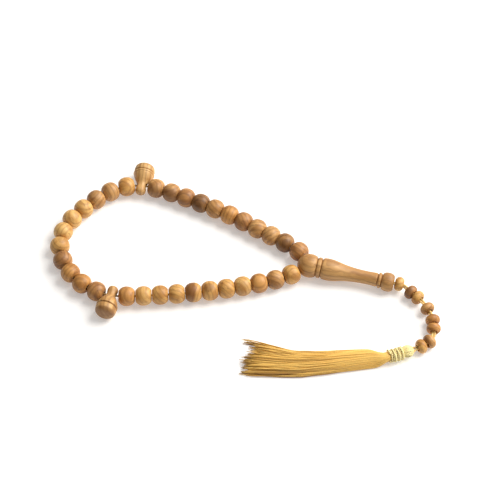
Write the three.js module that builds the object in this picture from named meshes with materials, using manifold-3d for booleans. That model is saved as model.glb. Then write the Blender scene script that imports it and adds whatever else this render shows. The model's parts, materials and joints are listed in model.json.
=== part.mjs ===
// Misbaha (prayer beads) of olive wood on a golden cord, laid out on a table.
// Units are millimetres and +Z is up. The origin is on the table, under the middle of the whole layout.
import * as THREE from "three";
import { mergeVertices } from "three/addons/utils/BufferGeometryUtils.js";
import Module from "manifold-3d";

const wasm = await Module();
wasm.setup();

// ---- Driving dimensions ----

const BEADS_IN_GROUP = 11;
const BEAD_DIAMETER = 8;
const BEAD_LENGTH = 6.3;
const BEAD_FACE_DIAMETER = 4.5; // the flat round each end of the bore
const TAIL_BEAD_DIAMETER = 5.9;
const TAIL_BEAD_LENGTH = 3.4;
const TAIL_BEAD_FACE_DIAMETER = 3.7;

const STRAND_DIAMETER = 0.9; // the cord of the loop
const TAIL_CORD_DIAMETER = 1.8; // two strands together
const BORE_CLEARANCE = 0.55; // cord to bore wall, so that a straight bore clears a bending cord
const TAIL_BORE_CLEARANCE = 0.45;
const TOUCH_GAP = 0.3; // between pieces that lie against each other
const SHARPEST_BEND = 72; // degrees that any place of the tail can bend, between two lengths of cord

const MARKER_LENGTH = 14.4;
const MARKER_HEAD_DIAMETER = 8.7;
const MARKER_STEM_DIAMETER = 4.3;
const MARKER_HOLE_FROM_TIP = 4.2;
const MARKER_RING_FROM_TIP = 9.85;
const MARKER_RING_WIDTH = 0.7;
const MARKER_GROOVE = 0.5; // between the ring and the domed top
const MARKER_LEAN = -4; // degrees about Z, away from square to the cord
const MARKER_SIDE_GAP = 0.95; // between a marker's stem and the beads beside it

const IMAME_LENGTH = 39.6;
const IMAME_BALL_DIAMETER = 9.6;
const IMAME_BALL_LENGTH = 7.8; // from its nose to the first groove
const IMAME_RING_DIAMETER = 8.4;
const IMAME_RING_WIDTH = 1.5;
const IMAME_BODY_DIAMETER = 8.9;
const IMAME_WAIST_DIAMETER = 5.4;
const IMAME_CAP_RING_DIAMETER = 6.4;
const IMAME_CAP_RING_WIDTH = 1.2;
const IMAME_CAP_DIAMETER = 7.7;
const IMAME_CAP_LENGTH = 4.7;
const IMAME_CAP_FROM_END = 2.4; // the cap's widest place
const IMAME_GROOVE = 0.45; // each turned groove's width
const IMAME_EDGE = 0.35; // how far in from its ends a ring reaches its full diameter
const IMAME_HEADING = -13.2; // degrees about Z, from the ball to the cap

const TASSEL_HEAD_DIAMETER = 5.2;
const TASSEL_HEAD_LENGTH = 3.9;
const TASSEL_EYE_DEPTH = 2.4; // how far the cord goes into the head
const BINDING_DIAMETER = 5.3;
const BINDING_LENGTH = 6.2;
const BINDING_WALL = 0.7;
const TASSEL_HEADING = -162; // degrees about Z, from the head to the skirt
const SKIRT_THICKNESS = 4.6;
const SKIRT_BEVEL = 1.2;

// Bare cord before each tail bead, and between the last one and the tassel.
const TAIL_GAPS = [0.6, 2.6, TOUCH_GAP, 3, 2.4, TOUCH_GAP, 3.2, TOUCH_GAP];
const TASSEL_GAP = 1.9;

const BEAD_SEGMENTS = 12;
const TURNED_SEGMENTS = 18; // round the imame and the markers
const CORD_SIDES = 8;

// ---- Routes, chosen by hand ----

// Where the middle of the imame's ball lies, which places everything else.
const BALL_CENTRE = [26.2, -0.2];

// The loop of cord, from the middle of the ball, round, and back to it: x and y from there.
const LOOP_ROUTE = [
  [0, 0],
  [-3.8, 7.6],
  [-8.8, 11.2],
  [-19.7, 18.1],
  [-31.2, 25.2],
  [-43.5, 31.4],
  [-56, 36.9],
  [-62.4, 39.2],
  [-68.5, 40.4],
  [-74.7, 40],
  [-81, 37.3],
  [-86.7, 33.2],
  [-91.9, 28.2],
  [-96.4, 22.8],
  [-99.4, 16.8],
  [-100.3, 10.1],
  [-98.8, 3.4],
  [-95.6, -2.6],
  [-91.1, -7.7],
  [-85.7, -11.4],
  [-79.9, -13.5],
  [-74.1, -14.2],
  [-60.3, -13.7],
  [-47, -12.5],
  [-33.5, -10.7],
  [-19.9, -8],
  [-13, -6.2],
  [-7.1, -3.9],
  [0, 0],
];

// The tail, from the mouth of the imame's bore to the tassel's head: x and y from the mouth, and the
// height over the middle of a tail bead that lies on the table.
const TAIL_ROUTE = [
  [0, 0, 0.9],
  [2.5, 0, 0.5],
  [4.6, -1.4, 0.1],
  [6.6, -3.8, 0],
  [9.3, -6.3, 0],
  [11.4, -8.9, 0],
  [12.9, -11.7, 0],
  [14, -14.5, 0],
  [14.6, -17.4, 0],
  [14.6, -21, 0],
  [14.4, -23.7, 0],
  [13.5, -25.9, 0],
  [12, -27.2, 0],
  [9.4, -28.8, 0],
  [6.3, -30.2, 0],
];

// The tassel's skirt seen from above, at places back along the tassel from the binding:
// [distance back, how far its middle lies to one side, half its width].
const SKIRT_OUTLINE = [
  [0, -0.3, 2.6],
  [3, -1.5, 3.5],
  [7, -2.6, 4.1],
  [18, -5, 4.8],
  [26, -6.7, 5.2],
  [34, -8.9, 5.8],
  [42, -12.8, 6.8],
  [50, -17.2, 7.8],
];
const SKIRT_END = [52, -18.3]; // the middle of its loose end

// ---- Turned profiles: [distance along the axis, radius] ----

// A round bead with flat ends and a bore, as a closed profile.
function beadProfile(diameter, length, faceDiameter, boreDiameter) {
  const radius = diameter / 2;
  const faceShare = faceDiameter / diameter;
  const halfAxis = length / 2 / Math.sqrt(1 - faceShare ** 2);
  const faceAngle = Math.acos(faceShare);
  const steps = 6;
  const profile = [[-length / 2, boreDiameter / 2]];
  for (let i = 0; i <= steps; i++) {
    const angle = faceAngle * ((2 * i) / steps - 1);
    profile.push([halfAxis * Math.sin(angle), radius * Math.cos(angle)]);
  }
  profile.push([length / 2, boreDiameter / 2]);
  profile.push(profile[0]);
  return profile;
}

// The part of a ball's profile from one angle to another, counted from the pole at its near end.
function ballArc(centre, radius, fromDegrees, toDegrees, steps) {
  const arc = [];
  for (let i = 0; i <= steps; i++) {
    const angle = THREE.MathUtils.degToRad(fromDegrees + ((toDegrees - fromDegrees) * i) / steps);
    arc.push([centre - radius * Math.cos(angle), radius * Math.sin(angle)]);
  }
  return arc;
}

function markerProfile() {
  const stem = MARKER_STEM_DIAMETER / 2;
  const head = MARKER_HEAD_DIAMETER / 2;
  const hole = MARKER_HOLE_FROM_TIP;
  const ringFrom = MARKER_RING_FROM_TIP - MARKER_RING_WIDTH / 2;
  const ringTo = ringFrom + MARKER_RING_WIDTH;
  const flare = ringFrom - hole;
  const domeFrom = ringTo + MARKER_GROOVE;
  const dome = MARKER_LENGTH - domeFrom;
  return [
    [0, 0],
    [0.06 * hole, 0.5 * stem],
    [0.2 * hole, 0.85 * stem],
    [0.4 * hole, stem],
    [0.7 * hole, 0.95 * stem],
    [hole, 0.92 * stem],
    [hole + 0.16 * flare, 0.48 * head],
    [hole + 0.32 * flare, 0.58 * head],
    [hole + 0.48 * flare, 0.69 * head],
    [hole + 0.64 * flare, 0.8 * head],
    [hole + 0.82 * flare, 0.9 * head],
    [hole + 0.95 * flare, 0.95 * head],
    [ringFrom, head],
    [ringTo, head],
    [(ringTo + domeFrom) / 2, 0.9 * head],
    [domeFrom, 0.97 * head],
    [domeFrom + 0.35 * dome, 0.97 * head],
    [domeFrom + 0.72 * dome, 0.84 * head],
    [domeFrom + 0.93 * dome, 0.55 * head],
    [MARKER_LENGTH, 0],
  ];
}

function imameProfile() {
  const ball = IMAME_BALL_DIAMETER / 2;
  const ring = IMAME_RING_DIAMETER / 2;
  const body = IMAME_BODY_DIAMETER / 2;
  const waist = IMAME_WAIST_DIAMETER / 2;
  const capRing = IMAME_CAP_RING_DIAMETER / 2;
  const cap = IMAME_CAP_DIAMETER / 2;
  const ringFrom = IMAME_BALL_LENGTH + IMAME_GROOVE;
  const ringTo = ringFrom + IMAME_RING_WIDTH;
  const bodyFrom = ringTo + IMAME_GROOVE;
  const capFrom = IMAME_LENGTH - IMAME_CAP_LENGTH;
  const capRingTo = capFrom - IMAME_GROOVE;
  const capRingFrom = capRingTo - IMAME_CAP_RING_WIDTH;
  const bodyLength = capRingFrom - IMAME_GROOVE - bodyFrom;
  return [
    ...ballArc(ball, ball, 0, 90, 5),
    [1.3 * ball, 0.98 * ball],
    [1.5 * ball, 0.93 * ball],
    [IMAME_BALL_LENGTH, 0.86 * ball],
    [IMAME_BALL_LENGTH + IMAME_GROOVE / 2, 0.78 * ball],
    [ringFrom, 0.86 * ring],
    [ringFrom + IMAME_EDGE, ring],
    [ringTo - IMAME_EDGE, ring],
    [ringTo, 0.88 * ring],
    [bodyFrom, 0.94 * body],
    [bodyFrom + 0.11 * bodyLength, body],
    [bodyFrom + 0.26 * bodyLength, 0.88 * body],
    [bodyFrom + 0.4 * bodyLength, 0.5 * waist + 0.37 * body],
    [bodyFrom + 0.6 * bodyLength, 1.04 * waist],
    [bodyFrom + 0.8 * bodyLength, 0.99 * waist],
    [bodyFrom + bodyLength, 1.04 * waist],
    [capRingFrom, 0.93 * waist],
    [capRingFrom + IMAME_EDGE, capRing],
    [capRingTo - IMAME_EDGE, capRing],
    [capRingTo, 0.88 * capRing],
    [capFrom, 0.88 * cap],
    [IMAME_LENGTH - 1.35 * IMAME_CAP_FROM_END, 0.985 * cap],
    [IMAME_LENGTH - IMAME_CAP_FROM_END, cap],
    [IMAME_LENGTH - 0.4 * IMAME_CAP_FROM_END, 0.93 * cap],
    [IMAME_LENGTH - 0.12 * IMAME_CAP_FROM_END, 0.82 * cap],
    [IMAME_LENGTH, 0.7 * cap],
    [IMAME_LENGTH, 0],
  ];
}

// ---- Solids ----

// A turned solid about +Y, from a profile of [distance along the axis, radius].
function turned(profile, segments) {
  const points = profile.map(([along, radius]) => new THREE.Vector2(radius, along));
  return new THREE.LatheGeometry(points, segments);
}

// A round drill from one point to another.
function drill(from, to, diameter) {
  const length = from.distanceTo(to);
  const geometry = new THREE.CylinderGeometry(diameter / 2, diameter / 2, length, BEAD_SEGMENTS);
  geometry.translate(0, length / 2, 0);
  geometry.applyMatrix4(frameAt(from, to.clone().sub(from)));
  return geometry;
}

// A cord along a curve.
function tube(curve, diameter, steps) {
  const section = new THREE.Shape();
  for (let i = 0; i < CORD_SIDES; i++) {
    const angle = (2 * Math.PI * i) / CORD_SIDES;
    const x = (diameter / 2) * Math.cos(angle);
    const y = (diameter / 2) * Math.sin(angle);
    if (i) section.lineTo(x, y);
    else section.moveTo(x, y);
  }
  section.closePath();
  return new THREE.ExtrudeGeometry(section, { steps, bevelEnabled: false, extrudePath: curve });
}

// A closed geometry as a manifold-3d solid, and a solid as a geometry.
function solidOf(geometry) {
  const flat = geometry.index ? geometry.toNonIndexed() : geometry.clone();
  flat.deleteAttribute("normal");
  flat.deleteAttribute("uv");
  const merged = mergeVertices(flat, 1e-4);
  const vertProperties = merged.getAttribute("position").array;
  const triVerts = new Uint32Array(merged.index.array);
  return new wasm.Manifold(new wasm.Mesh({ numProp: 3, vertProperties, triVerts }));
}

function geometryOf(solid) {
  const mesh = solid.getMesh();
  const geometry = new THREE.BufferGeometry();
  geometry.setAttribute("position", new THREE.BufferAttribute(mesh.vertProperties, 3));
  geometry.setIndex(new THREE.BufferAttribute(mesh.triVerts, 1));
  geometry.computeVertexNormals();
  return geometry;
}

function cut(geometry, tools) {
  let solid = solidOf(geometry);
  for (const tool of tools) solid = solid.subtract(solidOf(tool));
  return geometryOf(solid);
}

function join(geometries) {
  let solid = solidOf(geometries[0]);
  for (const geometry of geometries.slice(1)) solid = solid.add(solidOf(geometry));
  return geometryOf(solid);
}

// ---- Placing ----

// The frame at a point whose +Y runs along a direction and whose +X is as near to up as can be.
function frameAt(point, direction) {
  const along = direction.clone().normalize();
  const across = new THREE.Vector3(0, 0, 1).cross(along).negate().normalize();
  const up = along.clone().cross(across);
  return new THREE.Matrix4().makeBasis(up, along, across).setPosition(point);
}

function heading(degrees, tiltDegrees) {
  const turn = THREE.MathUtils.degToRad(degrees);
  const tilt = THREE.MathUtils.degToRad(tiltDegrees);
  const flat = Math.cos(tilt);
  return new THREE.Vector3(flat * Math.cos(turn), flat * Math.sin(turn), Math.sin(tilt));
}

// A stretch of a curve between two distances along it.
class Stretch extends THREE.Curve {
  constructor(curve, from, to) {
    super();
    this.curve = curve;
    this.from = from;
    this.to = to;
  }
  getPoint(t, target) {
    return pointAt(this.curve, this.from + t * (this.to - this.from), target);
  }
}

function pointAt(curve, distance, target) {
  const share = THREE.MathUtils.clamp(distance / curve.getLength(), 0, 1);
  return curve.getPointAt(share, target);
}

function directionAt(curve, distance) {
  const share = THREE.MathUtils.clamp(distance / curve.getLength(), 0, 1);
  return curve.getTangentAt(share);
}

// Where a straight bore sits on a bending cord: midway between the middle of the bend and its chord.
function seatOn(curve, at, length) {
  const before = pointAt(curve, at - length / 2);
  const after = pointAt(curve, at + length / 2);
  const centre = before.clone().lerp(after, 0.5).lerp(pointAt(curve, at), 0.5);
  return frameAt(centre, after.sub(before));
}

// How far a turned piece reaches along its string, when its neighbour leans by an angle.
function reachOf(profile) {
  return (lean) => {
    const reaches = profile.map(([along, radius]) => along * Math.cos(lean) + radius * Math.sin(lean));
    return Math.max(...reaches);
  };
}

// Sets pieces down along a curve, each clear of the one before it however the curve bends.
// Gives each piece's distance along the curve, and the distance that all of them take.
function threadOn(curve, pieces, firstReach, lastReach) {
  const places = [];
  let at = 0;
  let reachBefore = firstReach;
  for (const { reach, gap } of pieces) {
    const straight = reachBefore(0) + gap + reach(0);
    let step = straight;
    for (let pass = 0; pass < 3; pass++) {
      const lean = directionAt(curve, at).angleTo(directionAt(curve, at + step)) / 2;
      step = Math.max(straight, reachBefore(lean) + TOUCH_GAP + reach(lean));
    }
    at += step;
    places.push(at);
    reachBefore = reach;
  }
  return { places, taken: at + reachBefore(0) + lastReach };
}

// Grows or shrinks a route about its first point until the pieces just fill it.
function fitRoute(route, pieces, firstReach, lastReach) {
  let scale = 1;
  let fitted;
  for (let pass = 0; pass < 6; pass++) {
    const points = route.map((point) => point.clone().sub(route[0]).multiplyScalar(scale).add(route[0]));
    for (let i = 0; i < points.length; i++) points[i].z = route[i].z;
    const curve = new THREE.CatmullRomCurve3(points, false, "centripetal");
    curve.arcLengthDivisions = 2000;
    fitted = { curve, ...threadOn(curve, pieces, firstReach, lastReach) };
    scale *= fitted.taken / curve.getLength();
  }
  return fitted;
}

// ---- The pieces ----

const object = new THREE.Group();

const TONES = {
  pale: 0xd9b070,
  ochre: 0xc79450,
  tan: 0xb98a58,
  orange: 0xb4743a,
  brown: 0x93602f,
  dark: 0x6e4626,
};
const GOLD = 0xd8aa50;

function wood(tone) {
  return new THREE.MeshStandardMaterial({ color: TONES[tone], roughness: 0.45, metalness: 0 });
}

function thread(roughness) {
  return new THREE.MeshStandardMaterial({ color: GOLD, roughness, metalness: 0 });
}

function addPiece(name, geometry, material, matrix = new THREE.Matrix4()) {
  const mesh = new THREE.Mesh(geometry, material);
  mesh.name = name;
  matrix.decompose(mesh.position, mesh.quaternion, mesh.scale);
  object.add(mesh);
  return mesh;
}

const numbered = (name, index) => name + "_" + String(index + 1).padStart(2, "0");

// The imame lies on its ball and its cap, so it tilts a little down towards the cap.
const ballRadius = IMAME_BALL_DIAMETER / 2;
const capDrop = ballRadius - IMAME_CAP_DIAMETER / 2;
const capFromBall = IMAME_LENGTH - IMAME_CAP_FROM_END - ballRadius;
const imameTilt = -THREE.MathUtils.radToDeg(Math.asin(capDrop / capFromBall));
const imameAxis = heading(IMAME_HEADING, imameTilt);
const ballCentre = new THREE.Vector3(...BALL_CENTRE, ballRadius);
const mouth = ballCentre.clone().addScaledVector(imameAxis, IMAME_LENGTH - ballRadius);

// The counting beads and the two markers, threaded round the loop.
const boreDiameter = STRAND_DIAMETER + 2 * BORE_CLEARANCE;
const bead = beadProfile(BEAD_DIAMETER, BEAD_LENGTH, BEAD_FACE_DIAMETER, boreDiameter);
const stemReach = () => MARKER_STEM_DIAMETER / 2;
const loopPieces = [];
for (const group of ["near_imame", "far", "back_to_imame"]) {
  if (group !== "near_imame") loopPieces.push({ marker: true, reach: stemReach, gap: MARKER_SIDE_GAP });
  for (let i = 0; i < BEADS_IN_GROUP; i++) {
    const gap = i === 0 && group !== "near_imame" ? MARKER_SIDE_GAP : TOUCH_GAP;
    loopPieces.push({ reach: reachOf(bead), gap });
  }
}
const loopRoute = LOOP_ROUTE.map(
  ([x, y]) => new THREE.Vector3(ballCentre.x + x, ballCentre.y + y, BEAD_DIAMETER / 2),
);
loopRoute[0].z = ballRadius;
loopRoute[loopRoute.length - 1].z = ballRadius;
const loop = fitRoute(loopRoute, loopPieces, () => ballRadius, TOUCH_GAP + ballRadius);

const LOOP_TONES = [
  ["brown", "dark", "tan", "tan", "brown", "orange", "tan", "dark", "brown", "tan", "tan"],
  ["ochre", "tan", "tan", "pale", "pale", "pale", "ochre", "brown", "orange", "orange", "brown"],
  ["orange", "pale", "ochre", "ochre", "ochre", "ochre", "ochre", "pale", "orange", "tan", "ochre"],
].flat();
const markerNames = ["upper_marker", "lower_marker"];
const beadGeometry = turned(bead, BEAD_SEGMENTS);
const markerTilt = Math.asin(
  (MARKER_HEAD_DIAMETER - BEAD_DIAMETER) / 2 / (MARKER_RING_FROM_TIP - MARKER_HOLE_FROM_TIP),
);

function addMarker(name, centre, along) {
  const up = new THREE.Vector3(0, 0, 1);
  const outward = along.clone().cross(up).normalize();
  outward.applyAxisAngle(up, THREE.MathUtils.degToRad(MARKER_LEAN));
  const axis = outward.multiplyScalar(Math.cos(markerTilt)).setZ(Math.sin(markerTilt));
  const frame = frameAt(centre.clone().addScaledVector(axis, -MARKER_HOLE_FROM_TIP), axis);
  const side = along.clone().setZ(0).normalize().multiplyScalar(MARKER_STEM_DIAMETER);
  const hole = drill(centre.clone().sub(side), centre.clone().add(side), boreDiameter);
  hole.applyMatrix4(frame.clone().invert());
  addPiece(name, cut(turned(markerProfile(), TURNED_SEGMENTS), [hole]), wood("ochre"), frame);
}

let beadCount = 0;
loopPieces.forEach((piece, i) => {
  if (piece.marker) {
    const before = pointAt(loop.curve, loop.places[i - 1]);
    const after = pointAt(loop.curve, loop.places[i + 1]);
    addMarker(markerNames.shift(), pointAt(loop.curve, loop.places[i]), after.sub(before));
  } else {
    const material = wood(LOOP_TONES[beadCount % LOOP_TONES.length]);
    const frame = seatOn(loop.curve, loop.places[i], BEAD_LENGTH);
    addPiece(numbered("bead", beadCount), beadGeometry, material, frame);
    beadCount += 1;
  }
});

// The loop's cord starts and ends just short of the middle of the ball, where the imame's bores meet.
const cordInset = 2 * STRAND_DIAMETER;
const loopCord = new Stretch(loop.curve, cordInset, loop.curve.getLength() - cordInset);
addPiece("loop_cord", tube(loopCord, STRAND_DIAMETER, 80), thread(0.5));

// The imame: one bore along it, and two holes that slant into the ball from the ends of the loop.
const imameFrame = frameAt(ballCentre, imameAxis);
const tailBoreDiameter = TAIL_CORD_DIAMETER + 2 * TAIL_BORE_CLEARANCE;
const longBore = drill(ballCentre, mouth.clone().add(imameAxis), tailBoreDiameter);
const slantDepth = 1.2 * ballRadius;
const slantHoles = [slantDepth, loop.curve.getLength() - slantDepth].map((at) => {
  const out = pointAt(loop.curve, at).sub(ballCentre).setLength(slantDepth).add(ballCentre);
  return drill(ballCentre, out, boreDiameter);
});
const imameTools = [longBore, ...slantHoles];
imameTools.forEach((tool) => tool.applyMatrix4(imameFrame.clone().invert()));
const imameBlank = turned(imameProfile(), TURNED_SEGMENTS).translate(0, -ballRadius, 0);
addPiece("imame", cut(imameBlank, imameTools), wood("tan"), imameFrame);

// The tail beads, threaded from the imame's mouth to the tassel.
const tailBead = beadProfile(
  TAIL_BEAD_DIAMETER,
  TAIL_BEAD_LENGTH,
  TAIL_BEAD_FACE_DIAMETER,
  tailBoreDiameter,
);
const tailPieces = TAIL_GAPS.map((gap) => ({ reach: reachOf(tailBead), gap }));
const tailRoute = TAIL_ROUTE.map(
  ([x, y, rise]) => new THREE.Vector3(mouth.x + x, mouth.y + y, TAIL_BEAD_DIAMETER / 2 + rise),
);
const tail = fitRoute(tailRoute, tailPieces, () => 0, TASSEL_GAP);
const TAIL_TONES = ["pale", "brown", "ochre", "tan", "orange", "orange", "tan", "ochre"];
const tailBeadGeometry = turned(tailBead, BEAD_SEGMENTS);
tail.places.forEach((at, i) => {
  const frame = seatOn(tail.curve, at, TAIL_BEAD_LENGTH);
  addPiece("tail_bead_" + (i + 1), tailBeadGeometry, wood(TAIL_TONES[i]), frame);
});

// The doubled cord, in lengths that meet where the tail bends: in the middle of each bare stretch.
const pivotGap = TAIL_CORD_DIAMETER * Math.tan(THREE.MathUtils.degToRad(SHARPEST_BEND / 2));
const bends = [];
for (let i = 1; i < TAIL_GAPS.length; i++) {
  const bare = TAIL_GAPS[i] > TOUCH_GAP;
  if (bare) bends.push((tail.places[i - 1] + tail.places[i]) / 2);
}
bends.push(tail.curve.getLength() - TASSEL_GAP / 2);

function tailCord(name, from, to) {
  const steps = Math.ceil((to - from) / TAIL_CORD_DIAMETER);
  addPiece(name, tube(new Stretch(tail.curve, from, to), TAIL_CORD_DIAMETER, steps), thread(0.5));
}

const inImame = new THREE.CatmullRomCurve3(
  [
    ballCentre.clone().addScaledVector(imameAxis, TAIL_CORD_DIAMETER),
    ballCentre.clone().lerp(mouth, 0.5),
    ballCentre.clone().lerp(mouth, 0.9),
    pointAt(tail.curve, tail.places[0] - TAIL_BEAD_LENGTH / 2),
    pointAt(tail.curve, tail.places[0]),
    pointAt(tail.curve, bends[0] - pivotGap / 2),
  ],
  false,
  "centripetal",
);
addPiece("imame_cord", tube(inImame, TAIL_CORD_DIAMETER, 16), thread(0.5));
for (let i = 1; i < bends.length; i++) {
  tailCord("tail_cord_" + i, bends[i - 1] + pivotGap / 2, bends[i] - pivotGap / 2);
}

// The tassel: a hank of yarn folded over the cord, with a thread wound round its neck.
const headTip = pointAt(tail.curve, tail.curve.getLength());
const tasselAxis = heading(TASSEL_HEADING, 0);
const tasselFrame = frameAt(headTip, tasselAxis);
const headRadius = TASSEL_HEAD_DIAMETER / 2;
const coreRadius = BINDING_DIAMETER / 2 - BINDING_WALL - TOUCH_GAP;
const bindingFrom = TASSEL_HEAD_LENGTH + TOUCH_GAP;
const skirtFrom = bindingFrom + BINDING_LENGTH + TOUCH_GAP;
const hank = turned(
  [
    [0, 0],
    [0, 0.6 * headRadius],
    [0.15 * TASSEL_HEAD_LENGTH, 0.85 * headRadius],
    [0.45 * TASSEL_HEAD_LENGTH, headRadius],
    [0.8 * TASSEL_HEAD_LENGTH, 0.95 * headRadius],
    [TASSEL_HEAD_LENGTH, 0.85 * headRadius],
    [TASSEL_HEAD_LENGTH, coreRadius],
    [skirtFrom + 1, coreRadius],
    [skirtFrom + 1, 0],
  ],
  BEAD_SEGMENTS,
);

// The skirt is a flat-bottomed sheaf that lies on the table, wider towards its loose end.
function skirtGeometry() {
  const edge = (side) =>
    SKIRT_OUTLINE.map(([x, middle, half]) => new THREE.Vector2(x, middle + side * (half - SKIRT_BEVEL)));
  const outline = new THREE.Shape();
  const out = edge(-1);
  outline.moveTo(out[0].x, out[0].y);
  outline.splineThru(out.slice(1));
  outline.lineTo(...SKIRT_END);
  const back = edge(1).reverse();
  outline.lineTo(back[0].x, back[0].y);
  outline.splineThru(back.slice(1));
  outline.closePath();
  return new THREE.ExtrudeGeometry(outline, {
    depth: SKIRT_THICKNESS - 2 * SKIRT_BEVEL,
    bevelThickness: SKIRT_BEVEL,
    bevelSize: SKIRT_BEVEL,
    bevelSegments: 2,
    curveSegments: 2,
  });
}

const skirt = skirtGeometry();
skirt.translate(skirtFrom + SKIRT_BEVEL, 0, SKIRT_BEVEL);
skirt.rotateZ(THREE.MathUtils.degToRad(TASSEL_HEADING));
skirt.translate(headTip.x, headTip.y, 0);
skirt.applyMatrix4(tasselFrame.clone().invert());
const eye = drill(new THREE.Vector3(0, -1, 0), new THREE.Vector3(0, TASSEL_EYE_DEPTH, 0), tailBoreDiameter);
const yarn = cut(join([hank, skirt]), [eye]);
addPiece("tassel_yarn", yarn, thread(0.6), tasselFrame);

const binding = turned(
  [
    [bindingFrom, BINDING_DIAMETER / 2 - BINDING_WALL],
    [bindingFrom, BINDING_DIAMETER / 2],
    [bindingFrom + BINDING_LENGTH, BINDING_DIAMETER / 2],
    [bindingFrom + BINDING_LENGTH, BINDING_DIAMETER / 2 - BINDING_WALL],
    [bindingFrom, BINDING_DIAMETER / 2 - BINDING_WALL],
  ],
  BEAD_SEGMENTS,
);
addPiece("tassel_binding", binding, thread(0.45), tasselFrame);

const lastBend = bends[bends.length - 1];
const cordEnd = headTip.clone().addScaledVector(tasselAxis, TASSEL_EYE_DEPTH - TOUCH_GAP);
const tasselCord = new THREE.CatmullRomCurve3([
  pointAt(tail.curve, lastBend + pivotGap / 2),
  headTip,
  cordEnd,
]);
addPiece("tassel_cord", tube(tasselCord, TAIL_CORD_DIAMETER, 3), thread(0.5));

export default object;
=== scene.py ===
# Looks of the misbaha: olive-wood beads, markers and imame, a golden cord and a silky tassel.
# Lengths are in metres, +Z is up, and the table top is at z = 0.
import math
import random

import bmesh
import bpy
import numpy as np
from mathutils import Euler, Matrix, Vector
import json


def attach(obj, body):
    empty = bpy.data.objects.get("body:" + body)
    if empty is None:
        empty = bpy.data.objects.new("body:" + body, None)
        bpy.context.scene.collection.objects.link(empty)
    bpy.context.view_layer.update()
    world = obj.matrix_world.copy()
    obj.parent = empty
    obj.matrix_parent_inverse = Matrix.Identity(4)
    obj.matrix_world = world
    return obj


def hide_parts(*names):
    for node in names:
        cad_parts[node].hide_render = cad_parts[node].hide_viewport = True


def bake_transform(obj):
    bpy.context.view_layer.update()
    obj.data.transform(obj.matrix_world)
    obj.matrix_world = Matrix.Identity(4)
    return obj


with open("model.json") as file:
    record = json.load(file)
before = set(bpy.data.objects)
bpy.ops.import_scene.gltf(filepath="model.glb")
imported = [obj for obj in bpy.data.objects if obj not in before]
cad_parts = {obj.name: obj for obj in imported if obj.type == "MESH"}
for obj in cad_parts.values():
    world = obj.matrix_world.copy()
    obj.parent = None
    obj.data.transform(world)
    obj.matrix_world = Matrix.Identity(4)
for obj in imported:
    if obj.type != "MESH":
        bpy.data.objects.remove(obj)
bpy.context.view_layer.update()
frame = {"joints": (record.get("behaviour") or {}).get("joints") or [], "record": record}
JOINTS = {joint["name"]: joint for joint in frame["joints"]}
UP = Vector((0, 0, 1))
MM = 0.001

# ---- Camera ----

LOOK_AT = Vector((0.0024, 0.0108, 0))
CAMERA_DISTANCE = 0.8163
CAMERA_ELEVATION = math.radians(55)

camera = bpy.data.objects.new("camera", bpy.data.cameras.new("camera"))
camera.data.lens = 144
camera.data.sensor_width = 36
camera.data.clip_start = 0.05
camera.data.clip_end = 20
toward_camera = Vector((0, -math.cos(CAMERA_ELEVATION), math.sin(CAMERA_ELEVATION)))
camera.location = LOOK_AT + CAMERA_DISTANCE * toward_camera
camera.rotation_euler = (-toward_camera).to_track_quat("-Z", "Y").to_euler()
bpy.context.collection.objects.link(camera)
bpy.context.scene.camera = camera

# ---- Sizes, as the solids have them, but for two sizes of the counting beads ----

BEAD_DIAMETER = 0.008
BEAD_LENGTH = 0.00642  # the solids have 0.0063: drawn longer, the beads nearly touch
BEAD_FACE_DIAMETER = 0.0044  # the solids have 0.0045
LOOP_BORE = 0.002
TAIL_BEAD_DIAMETER = 0.0059
TAIL_BEAD_LENGTH = 0.0034
TAIL_BEAD_FACE_DIAMETER = 0.0037
TAIL_BORE = 0.0027
STRAND_DIAMETER = 0.0009

MARKER_TILT = math.radians(3.5516)
MARKER_LEAN = math.radians(-4)
MARKER_HOLE_FROM_TIP = 0.0042

IMAME_LENGTH = 0.0396
IMAME_HEADING = math.radians(-13.2)
IMAME_TILT = math.radians(-1.6802)
BALL_RADIUS = 0.0048

TASSEL_HEADING = math.radians(-162)
TASSEL_HEAD_LENGTH = 0.0039
BINDING_FROM = 0.0042
BINDING_LENGTH = 0.0062
BINDING_RADIUS = 0.00265
SKIRT_FROM = 0.0107

# ---- Routes of the cord ----

BALL_CENTRE = Vector((0.0262, -0.0002, BALL_RADIUS))
CORD_START_PAST_CENTRE = 0.0018
LOOP_SCALE = 1.00882
TAIL_SCALE = 1.02221

# Round the loop, from the middle of the imame's ball and back to it: x and y from there.
LOOP_ROUTE = [
    (0, 0),
    (-0.0038, 0.0076),
    (-0.0088, 0.0112),
    (-0.0197, 0.0181),
    (-0.0312, 0.0252),
    (-0.0435, 0.0314),
    (-0.056, 0.0369),
    (-0.0624, 0.0392),
    (-0.0685, 0.0404),
    (-0.0747, 0.04),
    (-0.081, 0.0373),
    (-0.0867, 0.0332),
    (-0.0919, 0.0282),
    (-0.0964, 0.0228),
    (-0.0994, 0.0168),
    (-0.1003, 0.0101),
    (-0.0988, 0.0034),
    (-0.0956, -0.0026),
    (-0.0911, -0.0077),
    (-0.0857, -0.0114),
    (-0.0799, -0.0135),
    (-0.0741, -0.0142),
    (-0.0603, -0.0137),
    (-0.047, -0.0125),
    (-0.0335, -0.0107),
    (-0.0199, -0.008),
    (-0.013, -0.0062),
    (-0.0071, -0.0039),
    (0, 0),
]

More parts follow.
